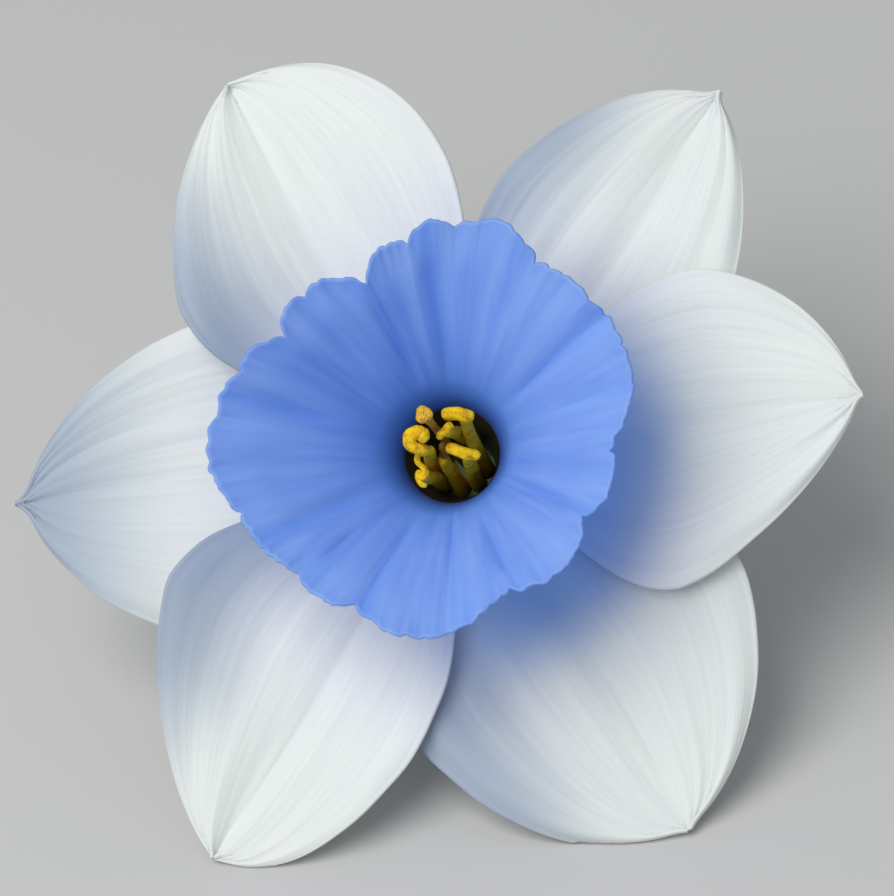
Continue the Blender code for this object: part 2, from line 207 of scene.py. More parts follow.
def wave(x, y, seed):
    """Smooth random height from -1 to 1."""
    return noise.noise(Vector((x, y, seed * WAVE_SPACING)))


def profile_point(profile, t):
    """Point at share t along a list of (radius, height) pairs, on a smooth line through them."""
    return path_point([Vector((a, b, 0.0)) for a, b in profile], t)


def path_point(points, t):
    """Point at share t along a smooth line through points."""
    count = len(points) - 1
    scaled = min(max(t, 0.0), 1.0) * count
    i = min(int(scaled), count - 1)
    s = scaled - i
    before, start, end, after = (points[min(max(k, 0), count)] for k in (i - 1, i, i + 1, i + 2))
    return 0.5 * (
        2.0 * start + (end - before) * s
        + (2.0 * before - 5.0 * start + 4.0 * end - after) * s**2
        + (3.0 * start - before - 3.0 * end + after) * s**3
    )


def add_piece(name, bm, material, nodes):
    """Makes the piece from its mesh, in the row's frame, and ties it to the model it stands for."""
    for vertex in bm.verts:
        vertex.co.z = max(vertex.co.z, LOWEST)
    mesh = bpy.data.meshes.new(name)
    bm.to_mesh(mesh)
    bm.free()
    mesh.shade_smooth()
    mesh.materials.append(material)
    piece = bpy.data.objects.new(name, mesh)
    bpy.context.scene.collection.objects.link(piece)
    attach(piece, "root")
    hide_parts(*nodes)
    return piece


def mark(piece, name, values):
    """Gives every vertex of a piece a value that its material reads by name."""
    layer = piece.data.attributes.new(name, "FLOAT", "POINT")
    for spot, value in zip(layer.data, values):
        spot.value = value


def grid_mesh(rows, columns, point, place, around=False, caps=False):
    """A sheet or a closed wall through point(v, u), with v along its length and u across or around it."""
    bm = bmesh.new()
    grain = bm.loops.layers.uv.new(UV_NAME)
    count = columns if around else columns + 1
    lines = []
    for j in range(rows + 1):
        line = [place @ point(j / rows, i / columns) * MM for i in range(count)]
        lines.append([bm.verts.new(p) for p in line])
    for j in range(rows):
        for i in range(columns):
            k = (i + 1) % count
            face = bm.faces.new((lines[j][i], lines[j][k], lines[j + 1][k], lines[j + 1][i]))
            spots = ((i, j), (i + 1, j), (i + 1, j + 1), (i, j + 1))
            for loop, (a, b) in zip(face.loops, spots):
                loop[grain].uv = (a / columns, b / rows)
    if caps:
        for ring, v in ((lines[0][::-1], 0.0), (lines[-1], 1.0)):
            middle = bm.verts.new(sum((vert.co for vert in ring), Vector()) / len(ring))
            for a, b in zip(ring, ring[1:] + ring[:1]):
                face = bm.faces.new((a, b, middle))
                for loop in face.loops:
                    loop[grain].uv = (0.5, v)
    return bm


def rod_mesh(rings, sides, spine, radius, place, roll=0.0):
    """A capped rod along spine(t), with radius(t, angle)."""
    step = 0.5 / rings
    frames = []
    side = None
    for j in range(rings + 1):
        t = j / rings
        along = (spine(min(1.0, t + step)) - spine(max(0.0, t - step))).normalized()
        if side is None:
            side = along.orthogonal().normalized()
        side = (side - along * side.dot(along)).normalized()
        frames.append((spine(t), side, along.cross(side)))

    def point(v, u):
        centre, x, y = frames[round(v * rings)]
        angle = math.tau * u
        turned = angle + roll * v
        return centre + (x * math.cos(turned) + y * math.sin(turned)) * radius(v, angle)

    return grid_mesh(rings, sides, point, place, around=True, caps=True)


def thicken(piece, thickness):
    """Gives a sheet its thickness, half on each side."""
    modifier = piece.modifiers.new("thickness", "SOLIDIFY")
    modifier.thickness = thickness
    modifier.offset = 0.0
    modifier.use_even_offset = False


# ---------------------------------------------------------------- materials


class Finish:
    """A node material with one Principled shader, built up step by step."""

    def __init__(self, name, roughness):
        self.material = bpy.data.materials.new(name)
        self.material.use_nodes = True
        self.tree = self.material.node_tree
        self.shader = self.tree.nodes["Principled BSDF"]
        self.shader.inputs["Roughness"].default_value = roughness
        self.output = self.tree.nodes["Material Output"]
        grain = self.tree.nodes.new("ShaderNodeUVMap")
        grain.uv_map = UV_NAME
        self.grain = grain.outputs["UV"]
        split = self.tree.nodes.new("ShaderNodeSeparateXYZ")
        self.link(self.grain, split.inputs[0])
        self.along = split.outputs["Y"]
        self.place = self.tree.nodes.new("ShaderNodeTexCoord").outputs["Object"]

    def link(self, source, target):
        self.tree.links.new(source, target)

    def stretched(self, source, scale):
        node = self.tree.nodes.new("ShaderNodeMapping")
        node.inputs["Scale"].default_value = scale
        self.link(source, node.inputs["Vector"])
        return node.outputs[0]

    def cloud(self, vector, scale, detail=3.0, rough=0.5):
        node = self.tree.nodes.new("ShaderNodeTexNoise")
        node.inputs["Scale"].default_value = scale
        node.inputs["Detail"].default_value = detail
        node.inputs["Roughness"].default_value = rough
        self.link(vector, node.inputs["Vector"])
        return node.outputs["Fac"]

    def ramp(self, value, *stops):
        """Colours or greys at stops (position, colour)."""
        node = self.tree.nodes.new("ShaderNodeValToRGB")
        elements = node.color_ramp.elements
        while len(elements) < len(stops):
            elements.new(1.0)
        for element, (position, colour) in zip(elements, stops):
            element.position = position
            element.color = (*colour, 1.0) if isinstance(colour, tuple) else (colour, colour, colour, 1.0)
        self.link(value, node.inputs["Fac"])
        return node.outputs["Color"]

    def mix(self, factor, first, second, blend="MIX"):
        node = self.tree.nodes.new("ShaderNodeMix")
        node.data_type = "RGBA"
        node.blend_type = blend
        for socket, value in zip((node.inputs[0], node.inputs[6], node.inputs[7]), (factor, first, second)):
            if isinstance(value, bpy.types.NodeSocket):
                self.link(value, socket)
            elif isinstance(value, tuple):
                socket.default_value = (*value, 1.0)
            else:
                socket.default_value = value
        return node.outputs[2]

    def attribute(self, name):
        node = self.tree.nodes.new("ShaderNodeAttribute")
        node.attribute_name = name
        return node.outputs["Fac"]

    def colour(self, value):
        self.link(value, self.shader.inputs["Base Color"])

    def bump(self, height, strength, distance):
        node = self.tree.nodes.new("ShaderNodeBump")
        node.inputs["Strength"].default_value = strength
        node.inputs["Distance"].default_value = distance
        self.link(height, node.inputs["Height"])
        previous = self.shader.inputs["Normal"].links
        if previous:
            self.link(previous[0].from_socket, node.inputs["Normal"])
        self.link(node.outputs[0], self.shader.inputs["Normal"])

    def let_light_through(self, share, colour):
        """Mixes in light that comes through from the other side."""
        node = self.tree.nodes.new("ShaderNodeBsdfTranslucent")
        if isinstance(colour, tuple):
            node.inputs["Color"].default_value = (*colour, 1.0)
        else:
            self.link(colour, node.inputs["Color"])
        mix = self.tree.nodes.new("ShaderNodeMixShader")
        mix.inputs[0].default_value = share
        self.link(self.shader.outputs[0], mix.inputs[1])
        self.link(node.outputs[0], mix.inputs[2])
        self.link(mix.outputs[0], self.output.inputs["Surface"])


PETAL_SHADE = (0.78, 0.81, 0.84)
PETAL_TIP = (0.86, 0.895, 0.87)
PETAL_BLUSH = (0.90, 0.86, 0.91)
PETAL_ROOT = (0.80, 0.77, 0.90)
PETAL_PAINTED_SHADE = (0.37, 0.45, 0.57)
TRUMPET_MIDDLE = (0.28, 0.48, 0.95)
TRUMPET_PALE = (0.44, 0.62, 0.98)
TRUMPET_PLEAT_LINES_AND_SHADE = (0.26, 0.50, 0.98)
TRUMPET_THROAT_PAINTED_SHADE = (0.015, 0.05, 0.22)
TRUMPET_GLOW = (0.24, 0.50, 0.98)

# Colours along a stamen's or the pistil's parts, from the foot up. The dark foot of a filament and of the
# style is painted shade deep in the tube.
FILAMENT_GOLD_AND_FOOT_SHADE = ((0.0, (0.25, 0.15, 0.004)), (0.30, (0.62, 0.38, 0.006)), (0.75, (0.85, 0.55, 0.006)),
                 (1.0, (0.88, 0.58, 0.008)))
ANTHER_GOLD = ((0.0, (0.80, 0.50, 0.006)), (0.4, (0.95, 0.62, 0.008)), (0.7, (0.85, 0.52, 0.006)),
               (1.0, (0.98, 0.70, 0.02)))
# Dark brown for the anther that sits low in the throat: painted shade.
ANTHER_PAINTED_SHADE = ((0.0, (0.16, 0.07, 0.006)), (1.0, (0.30, 0.14, 0.01)))
STYLE_GOLD_AND_FOOT_SHADE = ((0.0, (0.10, 0.07, 0.004)), (0.6, (0.40, 0.22, 0.01)), (1.0, (0.62, 0.30, 0.03)))
STIGMA_GOLD = ((0.0, (0.55, 0.24, 0.01)), (0.5, (0.75, 0.42, 0.02)), (1.0, (0.85, 0.55, 0.06)))


def petal_finish(sizes):
    """White with fine veins along the petal and a lilac root, with grey-blue painted shade on the left
    margins, left tips and roots, and the painted blue shadow of the trumpet beside it.
    """
    finish = Finish("petal", 0.52)
    broad = finish.cloud(finish.stretched(finish.grain, (14.0, 1.0, 1.0)), 1.0, 4.0, 0.6)
    fine = finish.cloud(finish.stretched(finish.grain, (58.0, 2.2, 1.0)), 1.0, 3.0, 0.55)
    hair = finish.cloud(finish.stretched(finish.grain, (150.0, 5.0, 1.0)), 1.0, 2.0, 0.5)
    patches = finish.cloud(finish.place, 70.0, 3.0, 0.5)
    ridge, groove = tuple(sizes.petal_colour), tuple(sizes.petal_groove_colour)
    veins = finish.mix(finish.ramp(fine, (0.30, 0.0), (0.62, 1.0)), groove, ridge)
    veins = finish.mix(finish.ramp(broad, (0.34, 0.45), (0.60, 0.0)), veins, PETAL_SHADE)
    veins = finish.mix(finish.ramp(finish.along, (0.60, 0.0), (0.96, 0.8)), veins, PETAL_TIP)
    tinted = finish.mix(finish.ramp(patches, (0.50, 0.0), (0.80, 0.25)), veins, PETAL_BLUSH)
    root = finish.ramp(finish.along, (0.0, 0.8), (0.15, 0.6), (0.34, 0.12), (0.45, 0.0))
    tinted = finish.mix(root, tinted, PETAL_ROOT)
    # Grey-blue painted shade on the left margins, left tips and roots.
    tinted = finish.mix(finish.attribute("painted_shade"), tinted, PETAL_PAINTED_SHADE)
    # Painted blue shadow of the trumpet, blue from light through it.
    tinted = finish.mix(finish.attribute("painted_blue_shadow"), tinted, tuple(sizes.petal_painted_shadow_colour))
    finish.colour(tinted)
    finish.bump(hair, 0.15, 0.0001)
    finish.bump(fine, 0.25, 0.00018)
    finish.bump(broad, 0.16, 0.0004)
    finish.shader.inputs["Sheen Weight"].default_value = 0.08
    finish.shader.inputs["Specular IOR Level"].default_value = 0.35
    finish.let_light_through(0.18, tinted)
    return finish.material


def corona_finish(sizes):
    """Blue with fine lines; darker, deeper blue low in the trumpet and near-black navy in the throat, both
    painted shade; darker pleats, partly the trumpet's own lines and partly painted shade.
    """
    finish = Finish("corona", 0.48)
    broad = finish.cloud(finish.stretched(finish.grain, (46.0, 1.0, 1.0)), 1.0, 3.0, 0.55)
    fine = finish.cloud(finish.stretched(finish.grain, (190.0, 2.5, 1.0)), 1.0, 3.0, 0.55)
    light, deep = tuple(sizes.corona_colour), tuple(sizes.corona_deep_colour)
    blue = finish.mix(finish.ramp(broad, (0.35, 0.0), (0.62, 1.0)), TRUMPET_MIDDLE, light)
    blue = finish.mix(finish.ramp(fine, (0.40, 0.0), (0.66, 0.35)), blue, TRUMPET_PALE)
    # Darker, deeper blue low in the trumpet: painted shade.
    lower = finish.ramp(finish.along, (0.0, 1.0), (0.12, 0.85), (0.32, 0.3), (0.55, 0.0))
    blue = finish.mix(lower, blue, deep)
    # Darker pleats: partly the trumpet's own lines, partly painted shade in the creases.
    blue = finish.mix(finish.attribute("pleat_lines_and_shade"), blue, TRUMPET_PLEAT_LINES_AND_SHADE)
    # Near-black navy in the throat: painted shade.
    throat = finish.ramp(finish.along, (0.0, 1.0), (0.05, 0.85), (0.13, 0.40), (0.24, 0.0))
    blue = finish.mix(throat, blue, TRUMPET_THROAT_PAINTED_SHADE)
    finish.colour(blue)
    finish.bump(fine, 0.18, 0.00012)
    finish.bump(broad, 0.25, 0.0003)
    finish.shader.inputs["Sheen Weight"].default_value = 0.08
    finish.shader.inputs["Specular IOR Level"].default_value = 0.35
    finish.let_light_through(0.45, TRUMPET_GLOW)
    return finish.material


def tube_finish():
    """Green and ribbed outside; the inside is painted near black, as shade."""
    finish = Finish("floral_tube", 0.5)
    ribs = finish.cloud(finish.stretched(finish.grain, (40.0, 1.2, 1.0)), 1.0, 3.0, 0.5)
    # Past the middle of the profile, inside the tube, the colour is painted near black: painted shade.
    green = finish.ramp(
        finish.along, (0.0, (0.78, 0.80, 0.72)), (0.20, (0.62, 0.72, 0.46)), (0.46, (0.30, 0.46, 0.16)),
        (0.52, (0.02, 0.02, 0.01)), (0.78, (0.030, 0.026, 0.012)), (0.94, (0.012, 0.02, 0.06)),
    )
    between = finish.ramp(ribs, (0.35, 0.35), (0.65, 0.0))
    finish.colour(finish.mix(between, green, (0.30, 0.42, 0.18), "MULTIPLY"))
    finish.bump(ribs, 0.35, 0.0003)
    return finish.material


def green_finish(name, light, dark, stretch):
    """A waxy green skin with lines along it."""
    finish = Finish(name, 0.42)
    lines = finish.cloud(finish.stretched(finish.grain, stretch), 1.0, 4.0, 0.55)
    patches = finish.cloud(finish.place, 220.0, 4.0, 0.6)
    skin = finish.mix(finish.ramp(lines, (0.35, 0.0), (0.65, 1.0)), dark, light)
    skin = finish.mix(finish.ramp(patches, (0.45, 0.0), (0.80, 0.45)), skin, (0.42, 0.52, 0.24))
    finish.colour(skin)
    finish.bump(lines, 0.40, 0.00025)
    finish.shader.inputs["Coat Weight"].default_value = 0.12
    finish.shader.inputs["Coat Roughness"].default_value = 0.35
    return finish.material


def gold_finish(name, stops, grain_scale, strength, roughness):
    """Pollen gold, with brown in its grain."""
    finish = Finish(name, roughness)
    grains = finish.cloud(finish.place, grain_scale, 3.0, 0.65)
    gold = finish.ramp(finish.along, *stops)
    finish.colour(finish.mix(finish.ramp(grains, (0.36, 0.65), (0.60, 0.0)), gold, (0.40, 0.17, 0.012)))
    finish.bump(grains, strength, 0.0002)
    finish.shader.inputs["Specular IOR Level"].default_value = 0.2
    return finish.material


# ---------------------------------------------------------------- petals


def half_width(side, share, base_share):
    """Half width of a petal's side at a share of its length."""
    if share < side.peak:
        grown = math.sin(0.5 * math.pi * (share - base_share) / (side.peak - base_share))
        return PETAL_BASE_HALF_WIDTH + (side.width - PETAL_BASE_HALF_WIDTH) * grown
    t = (share - side.peak) / (1.0 - side.peak)
    return max(PETAL_TIP_HALF_WIDTH, side.width * max(0.0, 1.0 - t**side.fullness) ** (1.0 / side.fullness))


def petal_point(petal, row, column):
    """Point of the petal's middle surface: row 0 at the tube to 1 at the tip, column -1 to 1 across it."""
    base_radius, base_height = petal.base
    base_share = base_radius / petal.length
    share = base_share + (1.0 - base_share) * math.sin(0.5 * math.pi * row)
    reach = (share - base_share) / (1.0 - base_share)
    side = petal.left if column > 0.0 else petal.right
    margin = abs(column)
    ruffle = 1.0 + 0.014 * wave(9.0 * share, 2.0 * math.copysign(1.0, column), petal.seed) * margin
    across = column * half_width(side, share, base_share) * ruffle
    body = smoothstep(0.0, 0.35, reach)
    height = base_height + petal.arch * math.sin(math.pi * reach) + petal.tip * reach
    height += side.cup * (across / side.width) ** 2 * body
    crease = column - 0.12 * petal.bend * math.sin(math.pi * reach)
    height -= petal.keel * math.exp(-((crease / 0.22) ** 2)) * body * (1.0 - 0.5 * reach)
    height -= 0.12 * petal.keel * math.exp(-((crease / 0.05) ** 2)) * body
    edge = smoothstep(0.80, 1.0, margin)
    uneven = 0.8 + 0.5 * wave(4.0 * share, column, petal.seed)
    height -= side.roll * edge * edge * smoothstep(0.15, 0.55, reach) * uneven
    height += 0.55 * wave(2.4 * column, 1.7 * reach, petal.seed + 0.3) * body
    height += 0.16 * wave(7.5 * column, 2.2 * reach, petal.seed + 0.6) * body
    height += 0.05 * wave(22.0 * column, 3.0 * reach, petal.seed + 0.9) * body
    height += 0.35 * wave(7.0 * share, column, petal.seed + 0.8) * edge * body
    spike = smoothstep(0.86, 1.0, row) ** 2
    along = share * petal.length + petal.spike * spike
    across *= 1.0 - 0.6 * spike
    angle = math.radians(petal.angle)
    outward = Vector((math.cos(angle), math.sin(angle), 0.0))
    sideways = Vector((-math.sin(angle), math.cos(angle), 0.0))
    return outward * along + sideways * across + Vector((0.0, 0.0, height))


def painted_shadow_amount(point):
    """How much painted shadow of the trumpet, blue from light through it, lies on a petal, at a point in the
    flower's frame.
    """
    radius = math.hypot(point.x, point.y)
    angle = math.degrees(math.atan2(point.y, point.x))
    away = abs((angle - PAINTED_SHADOW_ANGLE + 180.0) % 360.0 - 180.0)
    return PAINTED_SHADOW_STRENGTH * (1.0 - smoothstep(*PAINTED_SHADOW_REACH, radius)) * (1.0 - smoothstep(*PAINTED_SHADOW_SPREAD, away))


def painted_shade_amount(petal, point):
    """How much grey-blue painted shade a petal gets, at a point in the flower's frame: most on a left margin
    or left tip.
    """
    angle = math.radians(petal.angle)
    along = (point.x * math.cos(angle) + point.y * math.sin(angle)) / petal.length
    across = point.y * math.cos(angle) - point.x * math.sin(angle)
    side = petal.left if across > 0.0 else petal.right
    leftward = across / side.width * math.sin(angle)
    margin = smoothstep(*PAINTED_SHADE_MARGIN, leftward + 0.12 * wave(5.0 * along, leftward, petal.seed))
    uneven = 0.10 * wave(6.0 * leftward, along, petal.seed + 0.2)
    tip = smoothstep(*PAINTED_SHADE_TIP, -along * math.cos(angle) + uneven)
    root = PAINTED_SHADE_ROOT_STRENGTH * (1.0 - smoothstep(*PAINTED_SHADE_ROOT, along)) * (1.0 if petal.base == OUTER else 0.5)
    return min(1.0, PAINTED_SHADE_STRENGTH * margin + PAINTED_SHADE_STRENGTH * tip + root)


def make_petals(sizes):
    material = petal_finish(sizes)
    to_flower = FLOWER.inverted()
    for petal in PETALS:
        bm = grid_mesh(sizes.petal_rows, sizes.petal_columns,
                       lambda v, u, petal=petal: petal_point(petal, v, 1.0 - 2.0 * u), FLOWER)
        piece = add_piece(petal.name + "_blade", bm, material, [petal.name])
        points = [to_flower @ (vertex.co / MM) for vertex in piece.data.vertices]
        # The painted blue shadow of the trumpet on this petal.
        mark(piece, "painted_blue_shadow", [painted_shadow_amount(point) for point in points])
        # The grey-blue painted shade on this petal.
        mark(piece, "painted_shade", [painted_shade_amount(petal, point) for point in points])
        thicken(piece, sizes.petal_thickness)


# ---------------------------------------------------------------- trumpet


def rim_shape(angle):
    """Radius of the rim at an angle in degrees, and how far it drops there."""
    for (start, radius, crown), after in zip(RIM_LOBES, RIM_LOBES[1:] + RIM_LOBES[:1]):
        span = (after[0] - start) % 360.0
        share = ((angle - start) % 360.0) / span
        if share < 1.0:
            bump = math.sin(math.pi * share) ** 0.6
            return radius + (after[1] - radius) * share + crown * bump, RIM_NOTCH_DROP * (1.0 - bump)
    return RIM_LOBES[0][1], RIM_NOTCH_DROP


def pleat_at(rise, angle):
    """Depth of the pleats at a place on the wall, and how dark they are painted there: partly the trumpet's
    own lines, partly painted shade on one side of each crease.
    """
    depth = shade = 0.0
    for middle, half, fold, foot in PLEATS:
        away = ((angle - middle + 180.0) % 360.0 - 180.0) / half
        if abs(away) < 3.0:
            strength = smoothstep(foot, foot + 0.35, rise)
            depth += fold * math.exp(-(away**2)) * strength
            shade = max(shade, 0.75 * fold * math.exp(-((1.8 * (away - 0.3)) ** 2)) * strength)
    return depth, shade


def corona_point(rise, around):
    """Point of the trumpet's wall: rise 0 at the throat to 1 at the rim, around 0 to 1 round the axis."""
    angle = 360.0 * around
    turn = math.tau * around
    x, y = math.cos(turn), math.sin(turn)
    rim_radius, drop = rim_shape(angle)
    frill = smoothstep(0.72, 1.0, rise)
    lobes = smoothstep(0.0, 0.9, rise)
    rim = CORONA_PLAIN_RADIUS + (rim_radius - CORONA_PLAIN_RADIUS) * lobes
    teeth = 0.5 * abs(math.sin(36.0 * turn + 5.0 * wave(4.0 * x, 4.0 * y, 2.0))) ** 0.6
    teeth += 0.8 * wave(15.0 * x, 15.0 * y, 3.0) + 0.4 * wave(37.0 * x, 37.0 * y, 3.5)
    radius = CORONA_BASE_RADIUS + (rim - CORONA_BASE_RADIUS) * rise**CORONA_FLARE
    radius += 0.40 * teeth * frill**3 + 0.45 * wave(6.5 * x, 6.5 * y, 4.0) * frill
    depth, _ = pleat_at(rise, angle)
    outward = depth * 0.9 * (1.0 - 0.55 * frill)
    height = CORONA_FOOT + CORONA_HEIGHT * rise + 0.45 * smoothstep(0.0, 0.1, rise) - drop * rise**3
    height += 0.75 * wave(7.0 * x, 7.0 * y, 5.0) * frill - 0.5 * frill**2
    height -= 0.55 * outward
    radius += outward * 0.85 + 0.16 * wave(9.0 * x, 9.0 * y + 3.0 * rise, 6.0) * lobes
    return Vector((radius * x, radius * y, height))


def make_corona(sizes):
    rows, steps = sizes.corona_rows, sizes.corona_steps
    bm = grid_mesh(rows, steps, corona_point, FLOWER, around=True)
    piece = add_piece("trumpet", bm, corona_finish(sizes), ["corona"])
    # How dark the pleats are painted: partly their own lines, partly painted shade.
    mark(piece, "pleat_lines_and_shade", [pleat_at(row / rows, 360.0 * step / steps)[1] for row in range(rows + 1)
                          for step in range(steps)])
    thicken(piece, sizes.corona_thickness)


# ---------------------------------------------------------------- tube, ovary


def turned_mesh(profile, rows, steps, swell):
    """A closed skin turned about the flower's axis, its radius times swell(v, angle)."""

    def point(v, u):
        spot = profile_point(profile, v)
        radius = spot.x * swell(v, math.tau * u)
        return Vector((radius * math.cos(math.tau * u), radius * math.sin(math.tau * u), spot.y))

    bm = grid_mesh(rows, steps, point, FLOWER, around=True)
    bmesh.ops.remove_doubles(bm, verts=bm.verts, dist=MERGE_DISTANCE)
    bmesh.ops.recalc_face_normals(bm, faces=bm.faces)
    return bm


def make_tube(sizes):
    profile = TUBE_OUTSIDE + TUBE_INSIDE + TUBE_OUTSIDE[:1]

    def swell(v, angle):
        ribs = 0.025 * math.cos(6.0 * angle) + 0.01 * math.cos(18.0 * angle)
        return 1.0 + ribs * smoothstep(0.0, 0.1, 0.5 - v)

    bm = turned_mesh(profile, 96, 96, swell)
    add_piece("tube", bm, tube_finish(), ["floral_tube"])


def make_ovary(sizes):
    def swell(v, angle):
        lobes = 0.065 * math.cos(3.0 * angle) - 0.03 * abs(math.cos(1.5 * angle)) ** 14
        return 1.0 + lobes * smoothstep(0.0, 0.3, v)

    bm = turned_mesh(OVARY_PROFILE, 64, 96, swell)
    skin = green_finish("ovary", (0.22, 0.38, 0.10), (0.12, 0.25, 0.06), (30.0, 2.0, 1.0))
    add_piece("ovary_body", bm, skin, ["ovary"])


# ---------------------------------------------------------------- stamens, pistil


def bent_point(start, end, lift, t):
    """Point at share t from start to end, leaving start along the flower's axis and then leaning over."""
    lean = t**lift
    return Vector((
        start.x + (end.x - start.x) * lean,
        start.y + (end.y - start.y) * lean,
        start.z + (end.z - start.z) * t,
    ))


def make_stamens(sizes):
    filament = gold_finish("filament", FILAMENT_GOLD_AND_FOOT_SHADE, 900.0, 0.15, 0.5)
    anther = gold_finish("anther", ANTHER_GOLD, 1500.0, 0.8, 0.75)
    brown = gold_finish("anther_painted_shade", ANTHER_PAINTED_SHADE, 1500.0, 0.8, 0.8)
    for number, stamen in enumerate(STAMENS, start=1):
        foot = Vector((FILAMENT_RING * math.cos(math.radians(stamen.foot)),
                       FILAMENT_RING * math.sin(math.radians(stamen.foot)), FILAMENT_FOOT))
        middle = Vector(stamen.middle)
        turns = [middle + Vector(turn) for turn in stamen.turns]
        top = min(turns[:3], key=lambda spot: spot.z) if number in (1, 6) else turns[len(turns) // 2]

        def spine(t, foot=foot, top=top, number=number):
            sway = Vector((wave(3.0 * t, 0.0, number), wave(0.0, 3.0 * t, number), 0.0))
            return bent_point(foot, top, 1.4, t) + sway * 0.25 * math.sin(math.pi * t)

        def stalk(t, angle, number=number):
            slim = FILAMENT_RADIUS * (1.08 - 0.35 * t) * (1.0 - 0.4 * smoothstep(0.96, 1.0, t))
            uneven = 0.05 * wave(2.0 * math.cos(angle), 8.0 * t, number)
            return slim * (1.0 + 0.10 * math.cos(2.0 * angle) + uneven)

        bm = rod_mesh(40, 24, spine, stalk, FLOWER)
        add_piece(f"filament_{number}_stalk", bm, filament, [f"filament_{number}"])

        def sac(t, angle, stamen=stamen, number=number):
            ends = max(0.04, 1.0 - abs(2.0 * t - 1.0) ** 7) ** 0.5
            grooves = 1.0 - 0.30 * abs(math.cos(angle)) ** 9
            lumps = 1.0 + 0.10 * wave(3.0 * math.cos(angle) + 20.0 * t, 3.0 * math.sin(angle), number)
            grain = 1.0 + 0.07 * wave(9.0 * math.cos(angle) + 70.0 * t, 9.0 * math.sin(angle), number)
            return stamen.thick * ends * grooves * lumps * grain

        bm = rod_mesh(96, 32, lambda t, turns=turns: path_point(turns, t), sac, FLOWER, roll=2.5)
        # The sixth anther sits low in the throat and is painted dark brown, as shade.
        skin = brown if number == 6 else anther
        add_piece(f"anther_{number}_sac", bm, skin, [f"anther_{number}"])


def make_pistil(sizes):
    style = gold_finish("style", STYLE_GOLD_AND_FOOT_SHADE, 1100.0, 0.35, 0.5)
    foot, top = Vector((0.0, 0.0, STYLE_FOOT)), STIGMA_PLACE - Vector((0.0, 0.0, 0.5))

    def stalk(t, angle):
        return 0.42 + 0.16 * smoothstep(0.86, 1.0, t) + 0.02 * math.cos(3.0 * angle)

    bm = rod_mesh(60, 20, lambda t: bent_point(foot, top, 1.3, t), stalk, FLOWER)
    add_piece("style_stalk", bm, style, ["style"])
    stigma = gold_finish("stigma", STIGMA_GOLD, 1800.0, 0.9, 0.7)

    def knob(v, u):
        angle, polar = math.tau * u, math.pi * (0.02 + 0.96 * v)
        lobe = 0.80 + 0.20 * abs(math.cos(1.5 * angle))
        spot = Vector((
            math.sin(polar) * math.cos(angle), math.sin(polar) * math.sin(angle), -0.55 * math.cos(polar),
        ))
        grit = 1.0 + 0.14 * wave(*(spot.xy * 5.0), 3.0 + spot.z)
        grit += 0.08 * wave(*(spot.xy * 14.0), 5.0 + 2.0 * spot.z)
        return STIGMA_PLACE + spot * 0.98 * lobe * grit

    bm = grid_mesh(56, 72, knob, FLOWER, around=True, caps=True)
    add_piece("stigma_knob", bm, stigma, ["stigma"])


# ---------------------------------------------------------------- neck, stem, sheath


def neck_point(share):
    """Point on the neck's bend, from 0 under the ovary to 1 at the stem's top."""
    start = FLOWER @ Vector((0.0, 0.0, PEDICEL_START))
    steep = math.pi / 2.0 - LEAN
    bend = (start.z - STEM_TOP_HEIGHT) / (math.cos(STEM_SLOPE) - math.cos(steep))
    heading = steep + (STEM_SLOPE - steep) * share
    back = bend * (math.sin(steep) - math.sin(heading))
    down = bend * (math.cos(heading) - math.cos(steep))
    return start + Vector((0.0, back, -down))


def stem_point(share):
    """Point on the stem's middle line, from 0 at its top to 1 at the cut end."""
    run = share * STEM_LENGTH
    bow = STEM_BOW * math.sin(math.pi * share)
    return neck_point(1.0) + Vector((bow, run * math.cos(STEM_SLOPE), -run * math.sin(STEM_SLOPE)))


def make_neck_and_stem(sizes):
    skin = green_finish("stem", (0.24, 0.42, 0.13), (0.15, 0.31, 0.08), (26.0, 1.0, 1.0))
    bm = rod_mesh(48, 32, lambda t: neck_point(0.98 * t - 0.01),
                  lambda t, a: PEDICEL_RADIUS * (1.0 + 0.28 * t**3 + 0.03 * math.cos(3.0 * a)), SURFACE)
    add_piece("neck", bm, skin, ["pedicel"])

    def wall(t, angle):
        ribs = 1.0 - 0.018 * (1.0 - abs(math.cos(9.0 * angle)))
        ribs -= 0.012 * wave(2.0 * math.cos(angle), 9.0 * t, 8.0) ** 2
        top = 1.0 - 0.42 * (1.0 - smoothstep(0.0, 0.045, t)) ** 2
        return (STEM_RADIUS - 0.02) * ribs * top

    bm = rod_mesh(120, 72, stem_point, wall, SURFACE)
    piece = add_piece("stem_skin", bm, skin, ["stem"])
    cut = Finish("cut_end", 0.35)
    fibres = cut.cloud(cut.place, 1400.0, 3.0, 0.6)
    cut.colour(cut.ramp(fibres, (0.35, (0.46, 0.58, 0.28)), (0.65, (0.70, 0.78, 0.50))))
    cut.bump(fibres, 0.5, 0.0002)
    piece.data.materials.append(cut.material)
    hollow_end(piece)


